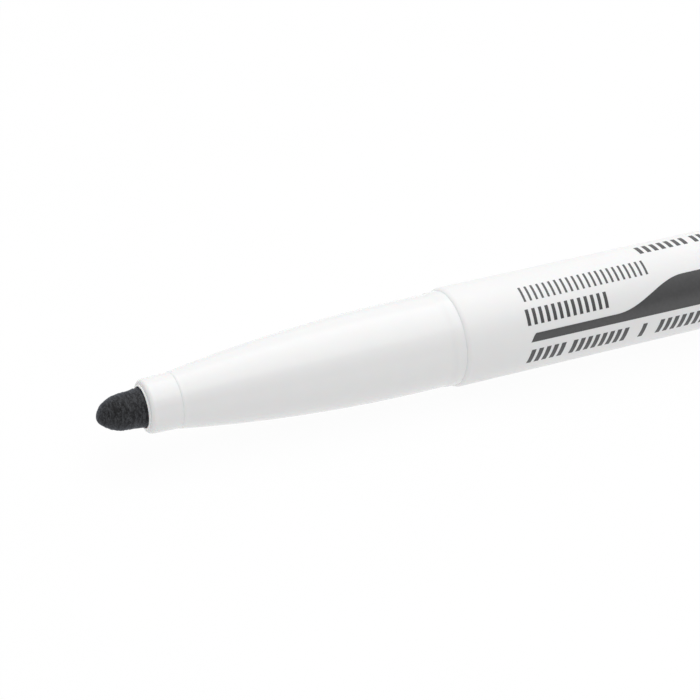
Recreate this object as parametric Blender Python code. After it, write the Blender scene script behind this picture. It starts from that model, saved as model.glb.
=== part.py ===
"""Whiteboard marker with a bullet nib, lying on the plane Z = 0 along X, its nib towards -X.

The black cap is posted on the plug at the rear. It pulls off towards +X. Its clip is turned down to the
surface on the -Y side, where it stops the marker from rolling.
"""

import math

import bmesh
import bpy

# Driving dimensions in metres. Stations are distances along the marker's axis from the barrel's front
# shoulder, negative towards the nib.
SIDES = 48
EDGE_STEPS = 4
CREASE = math.radians(35)
MERGE = 1e-7
SEAM = 0.0001
RUNNING = 0.0003

BARREL_RADIUS = 0.0070
BARREL_LENGTH = 0.0710
BARREL_BORE = 0.00605
BARREL_EDGE = 0.00025
BARREL_EDGE_STEPS = 3
RIB_COUNT = 6
RIB_WIDTH = 0.0008
RIB_TOP = 0.00515
RIB_START = 0.0100
RIB_END = 0.0600

NOSE_FRONT = -0.04019
NOSE_ARC = 0.2336
NOSE_STEPS = 10
NOSE_CREST = -0.00485
NOSE_CREST_RADIUS = 0.00654
NOSE_FLARE = 0.0017
NOSE_FLARE_RADIUS = 0.00667
NOSE_BORE = 0.00515
NOSE_SEAT = -0.0195
NOSE_SEAT_RADIUS = 0.0046
NOSE_THROAT_RADIUS = 0.0031
SPIGOT_LENGTH = 0.0080
SPIGOT_RADIUS = 0.00585

COLLAR_FRONT = -0.04446
COLLAR_FRONT_RADIUS = 0.00370
COLLAR_REAR_RADIUS = 0.00375
COLLAR_EDGE = 0.0005
COLLAR_BORE = 0.00295
COLLAR_SPIGOT_RADIUS = 0.00320
COLLAR_SPIGOT_LENGTH = 0.0058
COLLAR_SOCKET_RADIUS = 0.00335

NIB_TIP = -0.05077
NIB_DOME_LENGTH = 0.0040
NIB_DOME_RADIUS = 0.00252
NIB_DOME_STEPS = 8
NIB_RADIUS = 0.00272
NIB_TAIL = -0.0120

WICK_FRONT = -0.0190
WICK_REAR = 0.0630
WICK_RADIUS = 0.0045
FILM_INSIDE = 0.0047
FILM_OUTSIDE = 0.00485
FILM_INSET = 0.0005

PLUG_STUB_RADIUS = 0.00585
PLUG_STUB_LENGTH = 0.0075
PLUG_FLANGE_RADIUS = 0.00695
PLUG_FLANGE_LENGTH = 0.0012
PLUG_POST_RADIUS = 0.00655
PLUG_POST_LENGTH = 0.0120
PLUG_EDGE = 0.0015
PLUG_CORE_RADIUS = 0.00475
PLUG_END_WALL = 0.0020

CAP_LENGTH = 0.0540
CAP_MOUTH_RADIUS = 0.00770
CAP_MOUTH_EDGE = 0.0004
CAP_CROWN_RADIUS = 0.00715
CAP_CROWN_EDGE = 0.0010
CAP_CROWN_WALL = 0.0020
CAP_BORE_RADIUS = 0.00678
CAP_BORE_LENGTH = 0.0140
CAP_END_RADIUS = 0.00612
CAP_BOSS_INSIDE = 0.00495
CAP_BOSS_OUTSIDE = 0.00545
CAP_BOSS_LENGTH = 0.0070
VENT_COUNT = 4
VENT_SWEEP = math.radians(55)
VENT_INSIDE = 0.00555
VENT_OUTSIDE = 0.00600
VENT_SIDES = 8

CLIP_WIDTH = 0.0050
CLIP_TOP = 0.0109
CLIP_THICKNESS = 0.0018
CLIP_FOOT = 0.0065
CLIP_TIP = 0.0110
CLIP_NUB = 0.0083
CLIP_BRIDGE = 0.0430
CLIP_END = 0.0510
CLIP_HEEL = (0.0022, 0.0008)
CLIP_HEEL_DROP = 0.0012
CLIP_LEAD = 0.0020
CLIP_LEAD_DROP = 0.0008
CLIP_NUB_START = 0.0012
CLIP_NUB_LENGTH = 0.0020
CLIP_NUB_RAMP = 0.0016
CLIP_ROOT = (0.0015, 0.0008)
CLIP_EDGE = 0.0006
CLIP_EDGE_STEPS = 3

SEAL_RADIUS = 0.00475
SEAL_BORE = 0.00382
SEAL_LENGTH = 0.0125
SEAL_FLOOR = 0.0012
SEAL_LEAD = 0.0004

# Worked out: the cap's place on the plug, the height of the axis, and how far the clip is turned.
PLUG_SHOULDER = BARREL_LENGTH + SEAM + PLUG_FLANGE_LENGTH
PLUG_END = PLUG_SHOULDER + PLUG_POST_LENGTH
CAP_MOUTH = PLUG_SHOULDER + 2 * SEAM
CAP_CROWN = CAP_MOUTH + CAP_LENGTH
AXIS_HEIGHT = CAP_MOUTH_RADIUS * math.cos(math.pi / SIDES)
CLIP_CORNER_ACROSS = CLIP_WIDTH / 2 - CLIP_EDGE
CLIP_CORNER_OUT = CLIP_TOP - CLIP_EDGE
CLIP_CORNER_REACH = math.hypot(CLIP_CORNER_ACROSS, CLIP_CORNER_OUT)
CLIP_TURN = math.acos((AXIS_HEIGHT - CLIP_EDGE) / CLIP_CORNER_REACH) + math.atan2(
    CLIP_CORNER_ACROSS, CLIP_CORNER_OUT)
CLIP_SIDE = (CLIP_CORNER_OUT * math.sin(CLIP_TURN) + CLIP_CORNER_ACROSS * math.cos(CLIP_TURN)
             + CLIP_EDGE)
AXIS_START = -(NIB_TIP + CAP_CROWN) / 2
AXIS_SIDE = (CLIP_SIDE - CAP_MOUTH_RADIUS) / 2


def clear_scene():
    for thing in list(bpy.data.objects):
        bpy.data.objects.remove(thing, do_unlink=True)


def plastic(name, colour, roughness, metallic=0.0):
    finish = bpy.data.materials.new(name)
    finish.use_nodes = True
    shader = finish.node_tree.nodes["Principled BSDF"]
    shader.inputs["Base Color"].default_value = (*colour, 1.0)
    shader.inputs["Roughness"].default_value = roughness
    shader.inputs["Metallic"].default_value = metallic
    finish.diffuse_color = (*colour, 1.0)
    return finish


def axis_empty(name, place, parent=None):
    empty = bpy.data.objects.new(name, None)
    empty.location = place
    empty.parent = parent
    bpy.context.collection.objects.link(empty)
    return empty


def finished(name, shape, finish, parent):
    """Turn a bmesh into an object with smooth round faces and crisp corners."""
    bmesh.ops.recalc_face_normals(shape, faces=shape.faces)
    mesh = bpy.data.meshes.new(name)
    shape.to_mesh(mesh)
    shape.free()
    mesh.shade_smooth()
    mesh.set_sharp_from_angle(angle=CREASE)
    piece = bpy.data.objects.new(name, mesh)
    piece.data.materials.append(finish)
    piece.parent = parent
    bpy.context.collection.objects.link(piece)
    return piece


def arc(station, radius, size, start, end, steps):
    """Points on a circle of radius size about (station, radius), from start to end in degrees."""
    points = []
    for step in range(steps + 1):
        angle = math.radians(start + (end - start) * step / steps)
        points.append((station + size * math.cos(angle), radius + size * math.sin(angle)))
    return points


def turned_shape(outline, sweep=math.tau, sides=SIDES, start=math.pi / SIDES):
    """Turn an outline of (station, radius) points about X. An outline that starts on the axis is open."""
    shape = bmesh.new()
    ring = [shape.verts.new((station, -radius * math.sin(start), -radius * math.cos(start)))
            for station, radius in outline]
    for corner, following in zip(ring, ring[1:]):
        shape.edges.new((corner, following))
    if outline[0][1] > 0:
        shape.edges.new((ring[-1], ring[0]))
    bmesh.ops.spin(shape, geom=shape.verts[:] + shape.edges[:], cent=(0, 0, 0), axis=(1, 0, 0),
                   angle=sweep, steps=sides, use_merge=False, use_duplicate=False)
    bmesh.ops.remove_doubles(shape, verts=shape.verts, dist=MERGE)
    bmesh.ops.dissolve_degenerate(shape, edges=shape.edges, dist=MERGE)
    if sweep < math.tau:
        bmesh.ops.holes_fill(shape, edges=shape.edges, sides=0)
    return shape


def combine(piece, tool, operation):
    """Join or cut a piece with a hidden tool object."""
    tool.hide_render = True
    tool.display_type = "WIRE"
    step = piece.modifiers.new(tool.name, "BOOLEAN")
    step.operation = operation
    step.solver = "EXACT"
    step.object = tool


def nose_radius(station):
    """The nose's outside is one long arc, widest just ahead of the barrel."""
    return NOSE_CREST_RADIUS - NOSE_ARC + math.sqrt(NOSE_ARC ** 2 - (station - NOSE_CREST) ** 2)


def barrel(finish, parent):
    front = arc(BARREL_EDGE, BARREL_RADIUS - BARREL_EDGE, BARREL_EDGE, 180, 90, BARREL_EDGE_STEPS)
    rear = arc(BARREL_LENGTH - BARREL_EDGE, BARREL_RADIUS - BARREL_EDGE, BARREL_EDGE, 90, 0,
               BARREL_EDGE_STEPS)
    outline = [(0, BARREL_BORE)] + front + rear + [(BARREL_LENGTH, BARREL_BORE)]
    tube = finished("barrel", turned_shape(outline), finish, parent)
    ribs = finished("barrel_ribs", rib_shape(), finish, parent)
    combine(tube, ribs, "UNION")
    return tube


def rib_shape():
    """Straight ribs inside the barrel, rooted in its wall, which hold the reservoir off the wall."""
    root = (BARREL_BORE + BARREL_RADIUS) / 2
    shape = bmesh.new()
    for rib in range(RIB_COUNT):
        angle = math.tau * rib / RIB_COUNT
        out = (math.cos(angle), math.sin(angle))
        across = (-math.sin(angle), math.cos(angle))
        corners = []
        for radius, side in ((RIB_TOP, -1), (root, -1), (root, 1), (RIB_TOP, 1)):
            y = radius * out[0] + side * RIB_WIDTH / 2 * across[0]
            z = radius * out[1] + side * RIB_WIDTH / 2 * across[1]
            corners.append(shape.verts.new((RIB_START, y, z)))
        face = shape.faces.new(corners)
        grown = bmesh.ops.extrude_face_region(shape, geom=[face], use_keep_orig=True)
        moved = [part for part in grown["geom"] if isinstance(part, bmesh.types.BMVert)]
        bmesh.ops.translate(shape, verts=moved, vec=(RIB_END - RIB_START, 0, 0))
    return shape


def nose_section(finish, parent):
    outside = []
    for step in range(NOSE_STEPS + 1):
        station = NOSE_FRONT + (-NOSE_FLARE - NOSE_FRONT) * step / NOSE_STEPS
        outside.append((station, nose_radius(station)))
    socket = COLLAR_SPIGOT_LENGTH + RUNNING
    outline = outside + [
        (-NOSE_FLARE / 2, NOSE_FLARE_RADIUS),
        (-SEAM, NOSE_FLARE_RADIUS),
        (-SEAM, SPIGOT_RADIUS),
        (SPIGOT_LENGTH, SPIGOT_RADIUS),
        (SPIGOT_LENGTH, NOSE_BORE),
        (NOSE_SEAT, NOSE_BORE),
        (NOSE_SEAT, NOSE_SEAT_RADIUS),
        (NOSE_FRONT + socket + RUNNING, NOSE_THROAT_RADIUS),
        (NOSE_FRONT + socket, NOSE_THROAT_RADIUS),
        (NOSE_FRONT + socket, COLLAR_SOCKET_RADIUS),
        (NOSE_FRONT, COLLAR_SOCKET_RADIUS),
    ]
    return finished("nose_section", turned_shape(outline), finish, parent)


def tip_collar(finish, parent):
    shoulder = NOSE_FRONT - SEAM
    edge = arc(COLLAR_FRONT + COLLAR_EDGE, COLLAR_FRONT_RADIUS - COLLAR_EDGE, COLLAR_EDGE, 180, 90,
               EDGE_STEPS)
    outline = edge + [
        (shoulder, COLLAR_REAR_RADIUS),
        (shoulder, COLLAR_SPIGOT_RADIUS),
        (NOSE_FRONT + COLLAR_SPIGOT_LENGTH, COLLAR_SPIGOT_RADIUS),
        (NOSE_FRONT + COLLAR_SPIGOT_LENGTH, COLLAR_BORE),
        (COLLAR_FRONT, COLLAR_BORE),
    ]
    return finished("tip_collar", turned_shape(outline), finish, parent)


def fibre_nib(finish, parent):
    """A fibre rod with a bullet point. Its tail runs back into the reservoir."""
    dome = []
    for step in range(NIB_DOME_STEPS + 1):
        angle = math.pi / 2 * step / NIB_DOME_STEPS
        dome.append((NIB_TIP + NIB_DOME_LENGTH * (1 - math.cos(angle)), NIB_DOME_RADIUS * math.sin(angle)))
    outline = dome + [(COLLAR_FRONT, NIB_RADIUS), (NIB_TAIL, NIB_RADIUS), (NIB_TAIL, 0)]
    return finished("fibre_nib", turned_shape(outline), finish, parent)


def ink_reservoir(finish, parent):
    """The bundle of fibres that holds the ink, bored at the front for the nib's tail."""
    bore = NIB_RADIUS + RUNNING
    outline = [
        (NIB_TAIL + RUNNING, 0),
        (NIB_TAIL + RUNNING, bore),
        (WICK_FRONT, bore),
        (WICK_FRONT, WICK_RADIUS),
        (WICK_REAR, WICK_RADIUS),
        (WICK_REAR, 0),
    ]
    return finished("ink_reservoir", turned_shape(outline), finish, parent)


def reservoir_film(finish, parent):
    start = WICK_FRONT + FILM_INSET
    end = WICK_REAR - FILM_INSET
    outline = [(start, FILM_INSIDE), (start, FILM_OUTSIDE), (end, FILM_OUTSIDE), (end, FILM_INSIDE)]
    return finished("reservoir_film", turned_shape(outline), finish, parent)


def end_plug(finish, parent):
    """Plug pressed into the barrel's rear. Its outer post has the nose's size, so the cap fits on it."""
    front = BARREL_LENGTH - PLUG_STUB_LENGTH
    edge = arc(PLUG_END - PLUG_EDGE, PLUG_POST_RADIUS - PLUG_EDGE, PLUG_EDGE, 90, 0, EDGE_STEPS)
    outline = [
        (front, PLUG_CORE_RADIUS),
        (front, PLUG_STUB_RADIUS),
        (BARREL_LENGTH + SEAM, PLUG_STUB_RADIUS),
        (BARREL_LENGTH + SEAM, PLUG_FLANGE_RADIUS),
        (PLUG_SHOULDER, PLUG_FLANGE_RADIUS),
        (PLUG_SHOULDER, PLUG_POST_RADIUS),
    ] + edge
    core = [(PLUG_END - PLUG_END_WALL, 0), (PLUG_END - PLUG_END_WALL, PLUG_CORE_RADIUS)]
    return finished("end_plug", turned_shape(core + outline + [(PLUG_END, 0)]), finish, parent)


def clip_shape():
    """Side view of the clip, drawn out across its width. Its outer long edges are rounded."""
    inner = CLIP_TOP - CLIP_THICKNESS
    nub = CLIP_TIP + CLIP_NUB_START
    side = [
        (CLIP_END, CLIP_FOOT),
        (CLIP_END - CLIP_HEEL[1], CLIP_TOP - CLIP_HEEL_DROP),
        (CLIP_END - CLIP_HEEL[0], CLIP_TOP),
        (CLIP_TIP + CLIP_LEAD, CLIP_TOP),
        (CLIP_TIP, CLIP_TOP - CLIP_LEAD_DROP),
        (CLIP_TIP, inner),
        (nub, CLIP_NUB),
        (nub + CLIP_NUB_LENGTH, CLIP_NUB),
        (nub + CLIP_NUB_LENGTH + CLIP_NUB_RAMP, inner),
        (CLIP_BRIDGE - CLIP_ROOT[0], inner),
        (CLIP_BRIDGE, inner - CLIP_ROOT[1]),
        (CLIP_BRIDGE, CLIP_FOOT),
    ]
    shape = bmesh.new()
    corners = [shape.verts.new((station, -CLIP_WIDTH / 2, -height)) for station, height in side]
    grown = bmesh.ops.extrude_face_region(shape, geom=[shape.faces.new(corners)], use_keep_orig=True)
    moved = [part for part in grown["geom"] if isinstance(part, bmesh.types.BMVert)]
    bmesh.ops.translate(shape, verts=moved, vec=(0, CLIP_WIDTH, 0))
    bmesh.ops.recalc_face_normals(shape, faces=shape.faces)
    between = inner + CLIP_EDGE / 2
    outer = [edge for edge in shape.edges
             if all(-corner.co.z > between for corner in edge.verts)
             and abs(edge.verts[0].co.y - edge.verts[1].co.y) < MERGE]
    bmesh.ops.bevel(shape, geom=outer, offset=CLIP_EDGE, offset_type="OFFSET", segments=CLIP_EDGE_STEPS,
                    profile=0.5, affect="EDGES")
    return shape


def cap_outline():
    mouth = [
        (0, CAP_BORE_RADIUS + CAP_MOUTH_EDGE / 2),
        (0, CAP_MOUTH_RADIUS - CAP_MOUTH_EDGE),
        (CAP_MOUTH_EDGE, CAP_MOUTH_RADIUS),
    ]
    crown = arc(CAP_LENGTH - CAP_CROWN_EDGE, CAP_CROWN_RADIUS - CAP_CROWN_EDGE, CAP_CROWN_EDGE, 90, 0,
                EDGE_STEPS)
    floor = CAP_LENGTH - CAP_CROWN_WALL
    inside = [
        (floor, 0),
        (floor, CAP_BOSS_INSIDE),
        (floor - CAP_BOSS_LENGTH, CAP_BOSS_INSIDE),
        (floor - CAP_BOSS_LENGTH, CAP_BOSS_OUTSIDE),
        (floor, CAP_BOSS_OUTSIDE),
        (floor, CAP_END_RADIUS),
        (CAP_BORE_LENGTH, CAP_BORE_RADIUS),
        (CAP_MOUTH_EDGE, CAP_BORE_RADIUS),
    ]
    return inside + mouth + crown + [(CAP_LENGTH, 0)]


def cap_shell(finish, parent):
    """Cap with its clip moulded on. Curved slots through the crown let air past."""
    shell = finished("cap_shell", turned_shape(cap_outline()), finish, parent)
    clip = finished("cap_clip", clip_shape(), finish, parent)
    clip.rotation_euler.x = -CLIP_TURN
    combine(shell, clip, "UNION")
    start = CAP_LENGTH - 2 * CAP_CROWN_WALL
    end = CAP_LENGTH + CAP_CROWN_WALL
    slot = [(start, VENT_INSIDE), (start, VENT_OUTSIDE), (end, VENT_OUTSIDE), (end, VENT_INSIDE)]
    for vent in range(VENT_COUNT):
        shape = turned_shape(slot, sweep=VENT_SWEEP, sides=VENT_SIDES)
        tool = finished(f"vent_tool_{vent}", shape, finish, parent)
        tool.rotation_euler.x = math.tau * vent / VENT_COUNT
        combine(shell, tool, "DIFFERENCE")
    return shell


def cap_inner_seal(finish, parent):
    """Soft cup in the cap's boss, which closes on the tip collar and keeps the nib from drying."""
    rear = CAP_LENGTH - CAP_CROWN_WALL - RUNNING
    front = rear - SEAL_LENGTH
    outline = [
        (rear - SEAL_FLOOR, 0),
        (rear - SEAL_FLOOR, SEAL_BORE),
        (front + SEAL_LEAD, SEAL_BORE),
        (front, SEAL_BORE + SEAL_LEAD),
        (front, SEAL_RADIUS),
        (rear, SEAL_RADIUS),
        (rear, 0),
    ]
    return finished("cap_inner_seal", turned_shape(outline), finish, parent)


def build():
    clear_scene()
    marker_axis = axis_empty("marker_axis", (AXIS_START, AXIS_SIDE, AXIS_HEIGHT))
    cap_axis = axis_empty("cap_axis", (CAP_MOUTH, 0, 0), marker_axis)
    barrel(plastic("white_satin_plastic", (0.88, 0.88, 0.88), 0.42), marker_axis)
    nose_section(plastic("white_gloss_plastic", (0.90, 0.90, 0.90), 0.20), marker_axis)
    tip_collar(plastic("white_collar_plastic", (0.89, 0.89, 0.89), 0.28), marker_axis)
    fibre_nib(plastic("inked_fibre", (0.022, 0.024, 0.030), 0.85), marker_axis)
    ink_reservoir(plastic("inked_wick", (0.030, 0.030, 0.036), 0.95), marker_axis)
    reservoir_film(plastic("clear_film", (0.75, 0.76, 0.78), 0.15), marker_axis)
    end_plug(plastic("black_plug_plastic", (0.012, 0.012, 0.013), 0.35), marker_axis)
    cap_shell(plastic("black_cap_plastic", (0.012, 0.012, 0.013), 0.30), cap_axis)
    cap_inner_seal(plastic("natural_soft_plastic", (0.70, 0.70, 0.68), 0.45), cap_axis)


build()
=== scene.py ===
"""Looks of a whiteboard marker that lies on a pale table, its nib to the left and its cap on its rear.

Every piece is turned, drawn or wrapped in metres about the marker's own axis: X runs along it, with zero
at the barrel's front shoulder and the nib on the negative side.
"""

import math

import bmesh
import bpy
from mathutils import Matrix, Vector, noise


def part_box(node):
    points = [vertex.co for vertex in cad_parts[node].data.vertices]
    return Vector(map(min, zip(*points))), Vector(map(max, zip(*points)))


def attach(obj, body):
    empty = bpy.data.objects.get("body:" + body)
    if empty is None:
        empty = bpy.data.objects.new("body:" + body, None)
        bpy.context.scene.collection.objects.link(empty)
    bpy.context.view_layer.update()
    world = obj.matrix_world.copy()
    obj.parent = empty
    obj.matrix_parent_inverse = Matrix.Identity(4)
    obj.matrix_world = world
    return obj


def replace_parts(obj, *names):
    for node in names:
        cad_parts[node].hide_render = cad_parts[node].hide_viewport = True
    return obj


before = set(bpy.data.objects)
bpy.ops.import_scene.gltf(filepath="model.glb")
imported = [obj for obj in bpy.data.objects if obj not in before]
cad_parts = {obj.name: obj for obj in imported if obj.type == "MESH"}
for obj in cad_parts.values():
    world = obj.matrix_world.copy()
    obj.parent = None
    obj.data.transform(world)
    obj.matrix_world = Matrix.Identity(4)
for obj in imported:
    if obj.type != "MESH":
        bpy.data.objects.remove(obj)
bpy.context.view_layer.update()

MM = 0.001
SIDES = 192
CAD_SIDES = 48
MERGE = 1e-7
CREASE = math.radians(32)

barrel_low, barrel_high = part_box("barrel")
SHOULDER = Vector((barrel_low.x, (barrel_low.y + barrel_high.y) / 2, (barrel_low.z + barrel_high.z) / 2))


def place(node):
    """Front station, rear station and greatest radius of a turned CAD node."""
    low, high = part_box(node)
    return low.x - SHOULDER.x, high.x - SHOULDER.x, (high.z - low.z) / 2 / math.cos(math.pi / CAD_SIDES)


_, BARREL_REAR, BARREL_RADIUS = place("barrel")
NOSE_FRONT, NOSE_REAR, NOSE_RADIUS = place("nose_section")
COLLAR_FRONT, COLLAR_REAR, COLLAR_RADIUS = place("tip_collar")
NIB_TIP, NIB_TAIL, NIB_RADIUS = place("fibre_nib")
PLUG_FRONT, PLUG_REAR, PLUG_RADIUS = place("end_plug")
SEAL_FRONT, SEAL_REAR, SEAL_RADIUS = place("cap_inner_seal")
CAP_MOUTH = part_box("cap_shell")[0].x - SHOULDER.x
CAP_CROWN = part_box("cap_shell")[1].x - SHOULDER.x


# Materials.

# Places of the Mix node's colour sockets, which share their names with its other sockets.
FIRST, SECOND, MIXED = 6, 7, 2


def linear(hex_colour):
    """Linear RGBA of an sRGB hex colour."""
    channels = [int(hex_colour[start:start + 2], 16) / 255 for start in (1, 3, 5)]
    return [c / 12.92 if c <= 0.04045 else ((c + 0.055) / 1.055) ** 2.4 for c in channels] + [1.0]


def add(tree, kind, inputs=None, **settings):
    """Add a node with its settings. An input is a value or another node's output socket."""
    made = tree.nodes.new(kind)
    for name, value in settings.items():
        setattr(made, name, value)
    for socket, value in (inputs or {}).items():
        if isinstance(value, bpy.types.NodeSocket):
            tree.links.new(value, made.inputs[socket])
        else:
            made.inputs[socket].default_value = value
    return made


def start_material(name):
    """A material with an empty tree, its output, and object coordinates in metres."""
    material = bpy.data.materials.new(name)
    material.use_nodes = True
    tree = material.node_tree
    tree.nodes.clear()
    output = add(tree, "ShaderNodeOutputMaterial")
    coordinates = add(tree, "ShaderNodeTexCoord").outputs["Object"]
    return material, tree, output, coordinates


def satin_polypropylene():
    """Extruded polypropylene: a soft broad sheen, drawn lines along the tube and faint clouding."""
    material, tree, output, coordinates = start_material("satin_extruded_polypropylene")
    # The die leaves lines about 0.05 mm apart. They are drawn 0.3 mm apart, so that they show.
    along = add(tree, "ShaderNodeMapping", {"Vector": coordinates, "Scale": (0.03, 1.0, 1.0)})
    lines = add(tree, "ShaderNodeTexNoise", {
        "Vector": along.outputs[0], "Scale": 1 / (0.3 * MM), "Detail": 3.0})
    clouds = add(tree, "ShaderNodeTexNoise", {"Vector": coordinates, "Scale": 1 / (6 * MM), "Detail": 2.0})
    colour = add(tree, "ShaderNodeMix", {
        "Factor": clouds.outputs["Fac"], FIRST: linear("#DFDFDF"), SECOND: linear("#E3E3E3")},
        data_type="RGBA")
    roughness = add(tree, "ShaderNodeMapRange", {
        "Value": lines.outputs["Fac"], "To Min": 0.36, "To Max": 0.46})
    bump = add(tree, "ShaderNodeBump", {
        "Height": lines.outputs["Fac"], "Strength": 0.12, "Distance": 0.01 * MM})
    shader = add(tree, "ShaderNodeBsdfPrincipled", {
        "Base Color": colour.outputs[MIXED], "Roughness": roughness.outputs[0], "IOR": 1.49,
        "Normal": bump.outputs[0], "Subsurface Weight": 0.1, "Subsurface Scale": 0.6 * MM})
    tree.links.new(shader.outputs[0], output.inputs[0])
    return material


def gloss_polypropylene():
    """Injection-moulded polypropylene from a polished mould: clear highlights on a faintly rippled skin."""
    material, tree, output, coordinates = start_material("polished_mould_polypropylene")
    ripple = add(tree, "ShaderNodeTexNoise", {"Vector": coordinates, "Scale": 1 / (2.5 * MM), "Detail": 1.0})
    scuffs = add(tree, "ShaderNodeTexNoise", {"Vector": coordinates, "Scale": 1 / (0.8 * MM), "Detail": 4.0})
    colour = add(tree, "ShaderNodeMix", {
        "Factor": ripple.outputs["Fac"], FIRST: linear("#E0E0E0"), SECOND: linear("#E2E2E2")},
        data_type="RGBA")
    roughness = add(tree, "ShaderNodeMapRange", {
        "Value": scuffs.outputs["Fac"], "To Min": 0.15, "To Max": 0.24})
    bump = add(tree, "ShaderNodeBump", {
        "Height": ripple.outputs["Fac"], "Strength": 0.08, "Distance": 0.02 * MM})
    shader = add(tree, "ShaderNodeBsdfPrincipled", {
        "Base Color": colour.outputs[MIXED], "Roughness": roughness.outputs[0], "IOR": 1.49,
        "Normal": bump.outputs[0], "Subsurface Weight": 0.1, "Subsurface Scale": 0.6 * MM})
    tree.links.new(shader.outputs[0], output.inputs[0])
    return material


def inked_fibre():
    """Bonded acrylic fibre full of black ink: matt, ground in fine rings, with curled fibre ends."""
    material, tree, output, coordinates = start_material("inked_bonded_fibre")
    # The wheel's marks are about 0.05 mm apart. They are drawn 0.25 mm apart, so that they show.
    round_rod = add(tree, "ShaderNodeMapping", {"Vector": coordinates, "Scale": (1.0, 0.22, 0.22)})
    rings = add(tree, "ShaderNodeTexNoise", {
        "Vector": round_rod.outputs[0], "Scale": 1 / (0.25 * MM), "Detail": 2.0, "Distortion": 0.7})
    fibres = add(tree, "ShaderNodeTexNoise", {
        "Vector": coordinates, "Scale": 1 / (0.3 * MM), "Detail": 3.0, "Distortion": 1.5})
    mixed = add(tree, "ShaderNodeMath", {
        0: rings.outputs["Fac"], 1: fibres.outputs["Fac"]}, operation="MULTIPLY")
    tone = add(tree, "ShaderNodeValToRGB", {"Fac": mixed.outputs[0]})
    for element, position, colour in zip(tone.color_ramp.elements, (0.17, 0.35), ("#020202", "#3A3B3D")):
        element.position = position
        element.color = linear(colour)
    bump = add(tree, "ShaderNodeBump", {"Height": mixed.outputs[0], "Strength": 0.9, "Distance": 0.16 * MM})
    shader = add(tree, "ShaderNodeBsdfPrincipled", {
        "Base Color": tone.outputs[0], "Roughness": 0.6, "IOR": 1.33, "Normal": bump.outputs[0],
        "Sheen Weight": 0.16, "Sheen Roughness": 0.5, "Sheen Tint": linear("#AEBEDC")})
    tree.links.new(shader.outputs[0], output.inputs[0])
    return material


def print_ink():
    """Dark grey ink from a print pad: a thin half-gloss film with a slightly uneven cover."""
    material, tree, output, coordinates = start_material("pad_printed_ink")
    cover = add(tree, "ShaderNodeTexNoise", {"Vector": coordinates, "Scale": 1 / (0.5 * MM), "Detail": 4.0})
    colour = add(tree, "ShaderNodeMix", {
        "Factor": cover.outputs["Fac"], FIRST: linear("#343435"), SECOND: linear("#444445")},
        data_type="RGBA")
    shader = add(tree, "ShaderNodeBsdfPrincipled", {
        "Base Color": colour.outputs[MIXED], "Roughness": 0.3, "IOR": 1.6})
    tree.links.new(shader.outputs[0], output.inputs[0])
    return material


def black_polypropylene():
    """Black injection-moulded polypropylene: dark and satin, rubbed slightly paler in streaks."""
    material, tree, output, coordinates = start_material("black_moulded_polypropylene")
    rubbed = add(tree, "ShaderNodeTexNoise", {"Vector": coordinates, "Scale": 1 / (3 * MM), "Detail": 5.0})
    grain = add(tree, "ShaderNodeTexNoise", {"Vector": coordinates, "Scale": 1 / (0.35 * MM), "Detail": 2.0})
    colour = add(tree, "ShaderNodeMix", {
        "Factor": rubbed.outputs["Fac"], FIRST: linear("#0C0C0D"), SECOND: linear("#161618")},
        data_type="RGBA")
    roughness = add(tree, "ShaderNodeMapRange", {
        "Value": rubbed.outputs["Fac"], "To Min": 0.24, "To Max": 0.4})
    bump = add(tree, "ShaderNodeBump", {
        "Height": grain.outputs["Fac"], "Strength": 0.1, "Distance": 0.02 * MM})
    shader = add(tree, "ShaderNodeBsdfPrincipled", {
        "Base Color": colour.outputs[MIXED], "Roughness": roughness.outputs[0], "IOR": 1.49,
        "Normal": bump.outputs[0]})
    tree.links.new(shader.outputs[0], output.inputs[0])
    return material


def soft_polyethylene():
    """Natural low-density polyethylene: milky, waxy and a little uneven."""
    material, tree, output, coordinates = start_material("natural_polyethylene")
    clouds = add(tree, "ShaderNodeTexNoise", {"Vector": coordinates, "Scale": 1 / (2 * MM), "Detail": 3.0})
    colour = add(tree, "ShaderNodeMix", {
        "Factor": clouds.outputs["Fac"], FIRST: linear("#D3D2CC"), SECOND: linear("#E2E1DC")},
        data_type="RGBA")
    shader = add(tree, "ShaderNodeBsdfPrincipled", {
        "Base Color": colour.outputs[MIXED], "Roughness": 0.42, "IOR": 1.51, "Subsurface Weight": 0.3,
        "Subsurface Scale": 1.0 * MM})
    tree.links.new(shader.outputs[0], output.inputs[0])
    return material


def inked_wick():
    """Bundle of polyester fibres full of ink: dull black with strands along it."""
    material, tree, output, coordinates = start_material("inked_polyester_bundle")
    # The fibres are about 0.02 mm thick. They are drawn 0.2 mm thick, so that they show.
    along = add(tree, "ShaderNodeMapping", {"Vector": coordinates, "Scale": (0.05, 1.0, 1.0)})
    strands = add(tree, "ShaderNodeTexNoise", {
        "Vector": along.outputs[0], "Scale": 1 / (0.2 * MM), "Detail": 4.0})
    colour = add(tree, "ShaderNodeMix", {
        "Factor": strands.outputs["Fac"], FIRST: linear("#141418"), SECOND: linear("#303238")},
        data_type="RGBA")
    bump = add(tree, "ShaderNodeBump", {
        "Height": strands.outputs["Fac"], "Strength": 0.6, "Distance": 0.1 * MM})
    shader = add(tree, "ShaderNodeBsdfPrincipled", {
        "Base Color": colour.outputs[MIXED], "Roughness": 0.9, "Normal": bump.outputs[0]})
    tree.links.new(shader.outputs[0], output.inputs[0])
    return material


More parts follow.
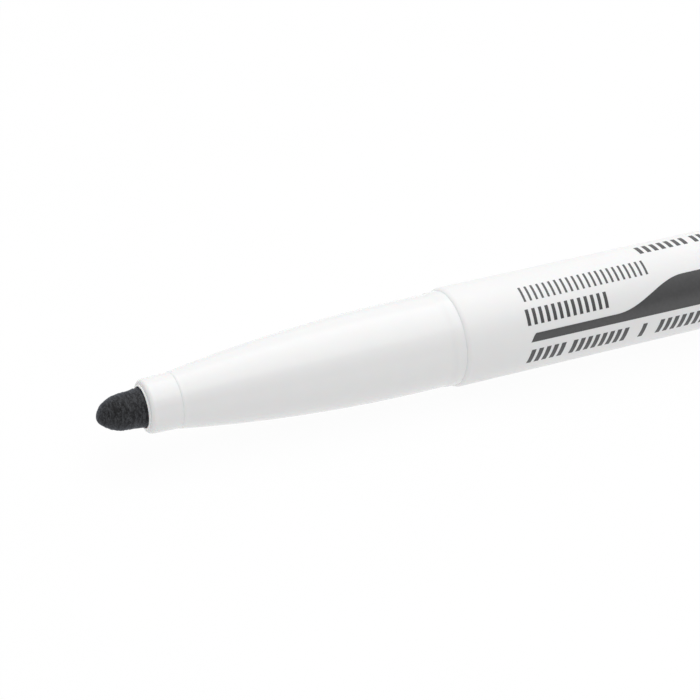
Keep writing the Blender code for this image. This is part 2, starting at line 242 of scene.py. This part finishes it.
def wrapping_film():
    """Clear polypropylene film, creased along the bundle that it holds."""
    material, tree, output, coordinates = start_material("clear_polypropylene_film")
    along = add(tree, "ShaderNodeMapping", {"Vector": coordinates, "Scale": (0.1, 1.0, 1.0)})
    creases = add(tree, "ShaderNodeTexNoise", {
        "Vector": along.outputs[0], "Scale": 1 / (1.5 * MM), "Detail": 2.0})
    roughness = add(tree, "ShaderNodeMapRange", {
        "Value": creases.outputs["Fac"], "To Min": 0.08, "To Max": 0.25})
    bump = add(tree, "ShaderNodeBump", {
        "Height": creases.outputs["Fac"], "Strength": 0.3, "Distance": 0.1 * MM})
    shader = add(tree, "ShaderNodeBsdfPrincipled", {
        "Base Color": linear("#E8EAEC"), "Roughness": roughness.outputs[0], "IOR": 1.49,
        "Transmission Weight": 0.8, "Normal": bump.outputs[0]})
    tree.links.new(shader.outputs[0], output.inputs[0])
    return material


def matt_laminate():
    """White laminate with a matt skin: no highlight, and a glow of its own that stands for even light."""
    material, tree, output, coordinates = start_material("matt_white_laminate")
    grain = add(tree, "ShaderNodeTexNoise", {"Vector": coordinates, "Scale": 1 / (20 * MM), "Detail": 2.0})
    colour = add(tree, "ShaderNodeMix", {
        "Factor": grain.outputs["Fac"], FIRST: linear("#393939"), SECOND: linear("#3D3D3D")},
        data_type="RGBA")
    shader = add(tree, "ShaderNodeBsdfPrincipled", {
        "Base Color": colour.outputs[MIXED], "Roughness": 0.9, "Specular IOR Level": 0.0,
        "Emission Color": linear("#FFFFFF"), "Emission Strength": 0.945})
    tree.links.new(shader.outputs[0], output.inputs[0])
    return material


# Shapes.

def arc(station, radius, size, start, end, steps=6):
    """Points on a circle of radius size about (station, radius), from start to end in degrees."""
    points = []
    for step in range(steps + 1):
        angle = math.radians(start + (end - start) * step / steps)
        points.append((station + size * math.cos(angle), radius + size * math.sin(angle)))
    return points


def rolled_edge(front, rear, low, high, flatness=1.4, steps=12):
    """Points of an edge that rolls over from radius low to high. A greater flatness is nearer a chamfer."""
    points = []
    for step in range(steps + 1):
        angle = math.pi / 2 * step / steps
        points.append((front + (rear - front) * (1 - math.cos(angle) ** flatness),
                       low + (high - low) * math.sin(angle) ** flatness))
    return points


def turned_shape(outline, sweep=math.tau, sides=SIDES):
    """Turn an outline of (station, radius) points about X. An outline that starts on the axis is open."""
    shape = bmesh.new()
    corners = [shape.verts.new((station, 0, -radius)) for station, radius in outline]
    for corner, following in zip(corners, corners[1:]):
        shape.edges.new((corner, following))
    if outline[0][1] > 0:
        shape.edges.new((corners[-1], corners[0]))
    bmesh.ops.spin(shape, geom=shape.verts[:] + shape.edges[:], cent=(0, 0, 0), axis=(1, 0, 0),
                   angle=sweep, steps=sides, use_merge=False, use_duplicate=False)
    bmesh.ops.remove_doubles(shape, verts=shape.verts, dist=MERGE)
    bmesh.ops.dissolve_degenerate(shape, edges=shape.edges, dist=MERGE)
    if sweep < math.tau:
        bmesh.ops.holes_fill(shape, edges=shape.edges, sides=0)
    return shape


def piece(name, shape, material, body, turn=0.0):
    """An object on the marker's axis, smooth on its round faces, which rides on a body."""
    bmesh.ops.recalc_face_normals(shape, faces=shape.faces)
    mesh = bpy.data.meshes.new(name)
    shape.to_mesh(mesh)
    shape.free()
    mesh.shade_smooth()
    mesh.set_sharp_from_angle(angle=CREASE)
    mesh.materials.append(material)
    made = bpy.data.objects.new(name, mesh)
    made.location = SHOULDER
    made.rotation_euler.x = turn
    bpy.context.scene.collection.objects.link(made)
    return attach(made, body)


def make_barrel(material):
    """Open tube. Its front edge is rounded over, down to the nose's skin, and its rear edge is crisp."""
    bore = 6.05 * MM
    edge = 0.22 * MM
    roll = 0.62 * MM
    lip = NOSE_RADIUS + 0.01 * MM
    outline = (
        [(0, bore)]
        + rolled_edge(0, roll, lip, BARREL_RADIUS)
        + arc(BARREL_REAR - edge, BARREL_RADIUS - edge, edge, 90, 0)
        + [(BARREL_REAR, bore)]
    )
    made = piece("barrel_tube", turned_shape(outline), material, "marker")
    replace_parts(made, "barrel")


NOSE_ARC = 233.6 * MM
NOSE_CREST = -4.85 * MM
NOSE_CREST_RADIUS = 6.54 * MM
NOSE_BEAD = -1.7 * MM


def nose_radius(station):
    """The nose's outside is one long arc, widest just ahead of the barrel."""
    return NOSE_CREST_RADIUS - NOSE_ARC + math.sqrt(NOSE_ARC ** 2 - (station - NOSE_CREST) ** 2)


def make_nose(material):
    """Long slim nose with a shallow snap bead where it meets the barrel, and a spigot inside the barrel."""
    steps = 60
    bead = 0.3 * MM
    waist = 0.03 * MM
    seam = -0.005 * MM
    spigot = 5.85 * MM
    roll = 0.32 * MM
    socket_radius = 3.35 * MM
    socket = NOSE_FRONT + 6.1 * MM
    throat = 3.1 * MM
    throat_front = socket + 0.3 * MM
    seat = -19.5 * MM
    seat_radius = 4.6 * MM
    bore = 5.15 * MM
    start = NOSE_FRONT + roll
    lip = COLLAR_RADIUS + 0.04 * MM
    outside = [start + (NOSE_BEAD - start) * step / steps for step in range(steps + 1)]
    outline = (
        rolled_edge(NOSE_FRONT, start, lip, nose_radius(start))[:-1]
        + [(station, nose_radius(station)) for station in outside]
        + [(NOSE_BEAD + bead, NOSE_RADIUS - waist), (NOSE_BEAD + 3 * bead, NOSE_RADIUS)]
        + [(seam, NOSE_RADIUS), (seam, spigot), (NOSE_REAR, spigot), (NOSE_REAR, bore)]
        + [(seat, bore), (seat, seat_radius), (throat_front, throat), (socket, throat)]
        + [(socket, socket_radius), (NOSE_FRONT, socket_radius)]
    )
    made = piece("nose_shell", turned_shape(outline), material, "marker")
    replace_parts(made, "nose_section")


def make_collar(material):
    """Ring that holds the nib. Its front edge is soft, and a small lip stands forward round the nib."""
    shoulder = NOSE_FRONT - 0.003 * MM
    rear_radius = COLLAR_RADIUS + 0.035 * MM
    front_radius = 3.70 * MM
    edge = 0.6 * MM
    lip = 0.12 * MM
    lip_front = COLLAR_FRONT - 0.22 * MM
    grip = NIB_RADIUS + 0.02 * MM
    bore = 2.95 * MM
    spigot = 3.20 * MM
    outline = (
        [(COLLAR_FRONT + 4 * lip, bore), (COLLAR_FRONT + 2 * lip, grip)]
        + arc(lip_front + lip, grip + lip, lip, 270, 90, 10)
        + [(COLLAR_FRONT, grip + 2.4 * lip)]
        + arc(COLLAR_FRONT + edge, front_radius - edge, edge, 180, 90, 10)
        + [(shoulder, rear_radius), (shoulder, spigot), (COLLAR_REAR, spigot), (COLLAR_REAR, bore)]
    )
    made = piece("nib_collar", turned_shape(outline), material, "marker")
    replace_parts(made, "tip_collar")


# Layers of noise that make up the nib's furrows: how fast they weaken, how much finer each one is, how many
# there are, and the level that lies on the nib's surface.
FURROW_FALL = 0.8
FURROW_RATIO = 2.1
FURROW_LAYERS = 4
FURROW_LEVEL = 0.7


def make_nib(material):
    """Bullet nib. Grinding leaves furrows round it, and writing has worn its point down on one side."""
    dome = 4.0 * MM
    dome_radius = 2.52 * MM
    steps = 48
    taper = 30
    groove = 0.06 * MM
    groove_along = 0.28 * MM
    groove_round = 0.9 * MM
    worn_length = 0.9 * MM
    worn_forward = 0.10 * MM
    worn_down = 0.17 * MM
    outline = []
    for step in range(steps + 1):
        angle = math.pi / 2 * step / steps
        outline.append((NIB_TIP + dome * (1 - math.cos(angle)), dome_radius * math.sin(angle)))
    for step in range(1, taper + 1):
        share = step / taper
        outline.append((NIB_TIP + dome + (COLLAR_FRONT - NIB_TIP - dome) * share,
                        dome_radius + (NIB_RADIUS - dome_radius) * share))
    outline += [(NIB_TAIL, NIB_RADIUS), (NIB_TAIL, 0)]
    shape = turned_shape(outline, sides=256)
    for vertex in shape.verts:
        if vertex.co.x < COLLAR_FRONT:
            along, across, height = vertex.co
            spot = Vector((along / groove_along, across / groove_round, height / groove_round))
            depth = groove * (noise.fractal(spot, FURROW_FALL, FURROW_RATIO, FURROW_LAYERS) - FURROW_LEVEL)
            outwards = Vector((0, across, height))
            near_tip = max(1 - (along - NIB_TIP) / worn_length, 0) ** 2
            vertex.co += outwards.normalized() * min(depth, outwards.length)
            vertex.co += Vector((-worn_forward, 0, -worn_down)) * near_tip
    made = piece("nib_point", shape, material, "marker")
    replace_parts(made, "fibre_nib")


def make_plug(material):
    """Plug in the barrel's rear: a rounded flange that shows as a ring, and the post that the cap fits on."""
    edge = 0.25 * MM
    seam = 0.1 * MM
    flange = 1.2 * MM
    flange_start = BARREL_REAR + seam
    flange_end = flange_start + flange
    stub = 5.85 * MM
    post = 6.55 * MM
    post_edge = 1.5 * MM
    core = 4.75 * MM
    wall = 2.0 * MM
    outline = (
        [(PLUG_REAR - wall, 0), (PLUG_REAR - wall, core), (PLUG_FRONT, core), (PLUG_FRONT, stub)]
        + [(flange_start, stub)]
        + arc(flange_start + edge, PLUG_RADIUS - edge, edge, 180, 90)
        + arc(flange_end - edge, PLUG_RADIUS - edge, edge, 90, 0)
        + [(flange_end, post)]
        + arc(PLUG_REAR - post_edge, post - post_edge, post_edge, 90, 0, 10)
        + [(PLUG_REAR, 0)]
    )
    made = piece("rear_plug", turned_shape(outline), material, "marker")
    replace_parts(made, "end_plug")


def shrunk(outline, inset):
    """A closed anticlockwise outline, moved inwards by the same amount all round."""
    moved = []
    for index, point in enumerate(outline):
        sides = []
        for start, end in ((outline[index - 1], point), (point, outline[(index + 1) % len(outline)])):
            length = math.dist(start, end)
            sides.append(((end[1] - start[1]) / length, (start[0] - end[0]) / length))
        (x1, y1), (x2, y2) = sides
        reach = inset / (1 + x1 * x2 + y1 * y2)
        moved.append((point[0] - reach * (x1 + x2), point[1] - reach * (y1 + y2)))
    return moved


CLIP_WIDTH = 5.0 * MM
CLIP_TOP = 10.9 * MM
CLIP_EDGE = 0.6 * MM


def clip_shape():
    """Side view of the clip, drawn out across its width in layers that round its long edges."""
    inner = CLIP_TOP - 1.8 * MM
    foot = 6.5 * MM
    tip = CAP_MOUTH + 11.0 * MM
    toe = 1.2 * MM
    nub = 0.8 * MM
    nub_low = 8.3 * MM
    nub_middle = tip + 2.2 * MM
    nub_end = tip + 3.8 * MM
    bridge = CAP_MOUTH + 43.0 * MM
    crook = 1.2 * MM
    heel = 2.0 * MM
    end = CAP_MOUTH + 51.0 * MM
    side = (
        [(end, foot)]
        + arc(end - 1.1 * heel, CLIP_TOP - heel, heel, 20, 90, 8)
        + arc(tip + toe, CLIP_TOP - toe, toe, 90, 180, 8)
        + arc(nub_middle, nub_low + nub, nub, 180, 360, 10)
        + [(nub_end, inner)]
        + arc(bridge - crook, inner - crook, crook, 90, 0, 8)
        + [(bridge, foot)]
    )
    steps = 6
    shape = bmesh.new()
    layers = []
    for half in (-1, 1):
        for step in range(steps + 1):
            angle = math.pi / 2 * (step if half > 0 else steps - step) / steps
            across = half * (CLIP_WIDTH / 2 - CLIP_EDGE + CLIP_EDGE * math.sin(angle))
            layers.append([shape.verts.new((station, across, -height))
                           for station, height in shrunk(side, CLIP_EDGE * (1 - math.cos(angle)))])
    for layer, following in zip(layers, layers[1:]):
        for index, corner in enumerate(layer):
            shape.faces.new((layer[index - 1], corner, following[index], following[index - 1]))
    shape.faces.new(layers[0])
    shape.faces.new(layers[-1])
    return shape


def combined(made, joined, cut):
    """Join and cut a piece with tool pieces, which are then removed, and crease the edges this leaves."""
    for operation, tools in (("UNION", joined), ("DIFFERENCE", cut)):
        for tool in tools:
            modifier = made.modifiers.new(tool.name, "BOOLEAN")
            modifier.operation = operation
            modifier.solver = "EXACT"
            modifier.object = tool
    mesh = bpy.data.meshes.new_from_object(made.evaluated_get(bpy.context.evaluated_depsgraph_get()))
    made.modifiers.clear()
    made.data = mesh
    mesh.set_sharp_from_angle(angle=CREASE)
    for tool in joined + cut:
        bpy.data.objects.remove(tool, do_unlink=True)
    return made


def clip_turn():
    """The clip's turn about the axis, from straight down to where its edge meets the table."""
    low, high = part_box("cap_shell")
    across = CLIP_WIDTH / 2 - CLIP_EDGE
    out = CLIP_TOP - CLIP_EDGE
    drop = SHOULDER.z - low.z - CLIP_EDGE
    return -(math.acos(drop / math.hypot(across, out)) + math.atan2(across, out))


def make_cap(material):
    """Posted cap: a slightly tapered shell, curved vent slots round its crown, and a clip moulded on."""
    mouth_radius = 7.70 * MM
    mouth_edge = 0.35 * MM
    crown_radius = 7.15 * MM
    crown_edge = 1.0 * MM
    floor = CAP_CROWN - 2.0 * MM
    bore = 6.78 * MM
    bore_end = CAP_MOUTH + 14 * MM
    end_bore = 6.12 * MM
    boss = (4.95 * MM, 5.45 * MM)
    boss_front = floor - 7.0 * MM
    outline = (
        [(floor, 0), (floor, boss[0]), (boss_front, boss[0]), (boss_front, boss[1]), (floor, boss[1])]
        + [(floor, end_bore), (bore_end, bore), (CAP_MOUTH + mouth_edge, bore)]
        + [(CAP_MOUTH, bore + mouth_edge / 2)]
        + arc(CAP_MOUTH + mouth_edge, mouth_radius - mouth_edge, mouth_edge, 180, 90)
        + arc(CAP_CROWN - crown_edge, crown_radius - crown_edge, crown_edge, 90, 0, 10)
        + [(CAP_CROWN, 0)]
    )
    shell = piece("cap_body", turned_shape(outline), material, "cap")
    clip = piece("cap_clip_tool", clip_shape(), material, "cap", clip_turn())
    vent_count = 4
    vent_sweep = math.radians(55)
    vent_inside = 5.55 * MM
    vent_outside = 6.00 * MM
    reach = 4 * MM
    slot = [(CAP_CROWN - reach, vent_inside), (CAP_CROWN - reach, vent_outside),
            (CAP_CROWN + reach, vent_outside), (CAP_CROWN + reach, vent_inside)]
    vents = []
    for vent in range(vent_count):
        tool = turned_shape(slot, sweep=vent_sweep, sides=24)
        vents.append(piece(f"vent_tool_{vent}", tool, material, "cap", math.tau * vent / vent_count))
    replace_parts(combined(shell, [clip], vents), "cap_shell")


def make_seal(material):
    """Cup inside the cap, with a flared lip, which closes on the collar when the marker is capped."""
    wall_floor = SEAL_REAR - 1.2 * MM
    bore = 3.82 * MM
    lead = 0.4 * MM
    edge = 0.2 * MM
    outline = (
        [(wall_floor, 0), (wall_floor, bore), (SEAL_FRONT + lead, bore), (SEAL_FRONT, bore + lead)]
        + arc(SEAL_FRONT + edge, SEAL_RADIUS - edge, edge, 180, 90)
        + arc(SEAL_REAR - edge, SEAL_RADIUS - edge, edge, 90, 0)
        + [(SEAL_REAR, 0)]
    )
    made = piece("cap_seal_cup", turned_shape(outline, sides=96), material, "cap")
    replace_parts(made, "cap_inner_seal")


# Print. Marks are drawn flat as (station, arc) outlines, where arc runs down round the barrel from the
# line that faces up and forward, and are then wrapped round the barrel as a thin film of ink.
PRINT_LINE = math.radians(31)
INK_FILM = 0.02 * MM
INK_GAP = 0.002 * MM
INK_FACET = 0.3 * MM


def tick_row(start, end, top, bottom, pitch, width, lean=0.0):
    """Outlines of a row of ticks. A positive lean moves each tick's upper end towards the rear."""
    count = round((end - start) / pitch)
    outlines = []
    for index in range(count):
        left = start + index * (end - start - width) / max(count - 1, 1)
        right = left + width
        outlines.append([(left + lean, top), (left, bottom), (right, bottom), (right + lean, top)])
    return outlines


def swept_band():
    """Outline of a plain band with a slanted front end, which widens in one smooth sweep to the rear."""
    top, bottom = 2.18 * MM, 3.42 * MM
    start, sweep_start, sweep_end, end = 9.8 * MM, 23.6 * MM, 35.2 * MM, 62.0 * MM
    rise = 3.6 * MM
    slant = 0.51 * MM
    corner = 0.3 * MM
    steps = 32
    upper = []
    for step in range(steps + 1):
        share = step / steps
        upper.append((sweep_start + (sweep_end - sweep_start) * share,
                      top - rise * (1 - math.cos(math.pi * share)) / 2))
    front = [(start + slant + corner, top), (start + slant, top + corner), (start, bottom)]
    return front + [(end, bottom + corner), (end, top - rise)] + upper[::-1]


def wrap(name, outlines, material):
    """Cut flat outlines into strips, bend them round the barrel and give them the ink film's thickness."""
    shape = bmesh.new()
    for outline in outlines:
        shape.faces.new([shape.verts.new((station, place_round, 0)) for station, place_round in outline])
    lowest = min(point[1] for outline in outlines for point in outline)
    highest = max(point[1] for outline in outlines for point in outline)
    for cut in range(1, math.ceil((highest - lowest) / INK_FACET)):
        bmesh.ops.bisect_plane(shape, geom=shape.verts[:] + shape.edges[:] + shape.faces[:],
                               plane_co=(0, lowest + cut * INK_FACET, 0), plane_no=(0, 1, 0))
    base = BARREL_RADIUS + INK_GAP
    for vertex in shape.verts:
        angle = PRINT_LINE - vertex.co.y / BARREL_RADIUS
        vertex.co = (vertex.co.x, -base * math.cos(angle), base * math.sin(angle))
    grown = bmesh.ops.extrude_face_region(shape, geom=shape.faces[:], use_keep_orig=True)
    for part in grown["geom"]:
        if isinstance(part, bmesh.types.BMVert):
            part.co.y *= 1 + INK_FILM / base
            part.co.z *= 1 + INK_FILM / base
    made = piece(name, shape, material, "marker")


def make_print(material):
    """Rows of plain ticks, in groups as long as words, and one plain band between the rows."""
    fine = tick_row(9.9 * MM, 29.9 * MM, -4.8 * MM, -2.4 * MM, pitch=0.9 * MM, width=0.34 * MM)
    wrap("print_fine_ticks", fine, material)
    short = tick_row(9.5 * MM, 22.4 * MM, -1.3 * MM, 1.0 * MM, pitch=1.0 * MM, width=0.5 * MM)
    wrap("print_short_ticks", short, material)
    wrap("print_band", [swept_band()], material)
    slanted = []
    for start, end in ((9.5, 15.0), (16.2, 25.2), (27.5, 28.3), (30.4, 42.0), (44.0, 60.0)):
        slanted += tick_row(start * MM, end * MM, 4.65 * MM, 7.05 * MM, pitch=1.15 * MM, width=0.7 * MM,
                            lean=0.5 * MM)
    wrap("print_slanted_ticks", slanted, material)
    upper = []
    for start, end in ((30.6, 38.6), (39.8, 47.5), (48.6, 60.0)):
        upper += tick_row(start * MM, end * MM, -8.1 * MM, -6.15 * MM, pitch=1.1 * MM, width=0.65 * MM)
    wrap("print_upper_ticks", upper, material)


# Stage: a pale table, a soft box overhead and weak light from all round.

def make_table(material):
    """Flat square table top, level with the marker's underside."""
    half_width = 2.0
    grid = bmesh.new()
    bmesh.ops.create_grid(grid, x_segments=8, y_segments=8, size=half_width)
    mesh = bpy.data.meshes.new("table")
    grid.to_mesh(mesh)
    grid.free()
    mesh.materials.append(material)
    table = bpy.data.objects.new("table", mesh)
    bpy.context.scene.collection.objects.link(table)


def make_lights():
    """A large soft box over the marker, and a room that is dim low down and brighter above and behind."""
    box = bpy.data.lights.new("overhead_soft_box", "AREA")
    box.shape = "RECTANGLE"
    box.size = 0.5
    box.size_y = 1.0
    radiance = 1.24
    box.energy = radiance * math.pi * box.size * box.size_y
    hung = bpy.data.objects.new("overhead_soft_box", box)
    hung.location = (0.1, -0.08, 0.6)
    bpy.context.scene.collection.objects.link(hung)
    dim, overhead, behind = 0.32, 0.80, 0.34
    world = bpy.data.worlds.new("pale_studio")
    world.use_nodes = True
    tree = world.node_tree
    tree.nodes.clear()
    output = add(tree, "ShaderNodeOutputWorld")
    direction = add(tree, "ShaderNodeTexCoord").outputs["Generated"]
    split = add(tree, "ShaderNodeSeparateXYZ", {0: direction})
    level = add(tree, "ShaderNodeMapRange", {
        "Value": split.outputs["Y"], "To Min": dim, "To Max": dim + behind})
    height = add(tree, "ShaderNodeMath", {0: split.outputs["Z"], 1: 0.0}, operation="MAXIMUM")
    light = add(tree, "ShaderNodeMath", {
        0: height.outputs[0], 1: overhead, 2: level.outputs[0]}, operation="MULTIPLY_ADD")
    sky = add(tree, "ShaderNodeBackground", {"Color": linear("#FFFFFF"), "Strength": light.outputs[0]})
    tree.links.new(sky.outputs[0], output.inputs[0])
    bpy.context.scene.world = world
    bpy.context.scene.view_settings.view_transform = "Standard"


def make_camera():
    """Long lens, looking down on the nose from the front left, so that the marker's rear runs out of view."""
    azimuth = math.radians(-25.64)
    elevation = math.radians(28.3)
    distance = 308.28 * MM
    shift_left = 13.03 * MM
    shift_down = 1.67 * MM
    right = Vector((math.cos(azimuth), math.sin(azimuth), 0))
    forward = Vector((-math.sin(azimuth) * math.cos(elevation), math.cos(azimuth) * math.cos(elevation),
                      -math.sin(elevation)))
    up = right.cross(forward)
    lens = bpy.data.cameras.new("camera")
    lens.sensor_width = 36
    lens.lens = 114.84
    lens.clip_start = 0.01
    camera = bpy.data.objects.new("camera", lens)
    camera.location = SHOULDER - shift_left * right - shift_down * up - distance * forward
    camera.rotation_euler = forward.to_track_quat("-Z", "Y").to_euler()
    bpy.context.scene.collection.objects.link(camera)
    bpy.context.scene.camera = camera


def show_node(node, material):
    """A CAD node that stays as it is, with a finished material."""
    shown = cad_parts[node]
    shown.data.materials.clear()
    shown.data.materials.append(material)


make_camera()
make_lights()
make_table(matt_laminate())
black = black_polypropylene()
gloss = gloss_polypropylene()
make_barrel(satin_polypropylene())
make_nose(gloss)
make_collar(gloss)
make_nib(inked_fibre())
make_plug(black)
make_cap(black)
make_seal(soft_polyethylene())
make_print(print_ink())
show_node("ink_reservoir", inked_wick())
show_node("reservoir_film", wrapping_film())
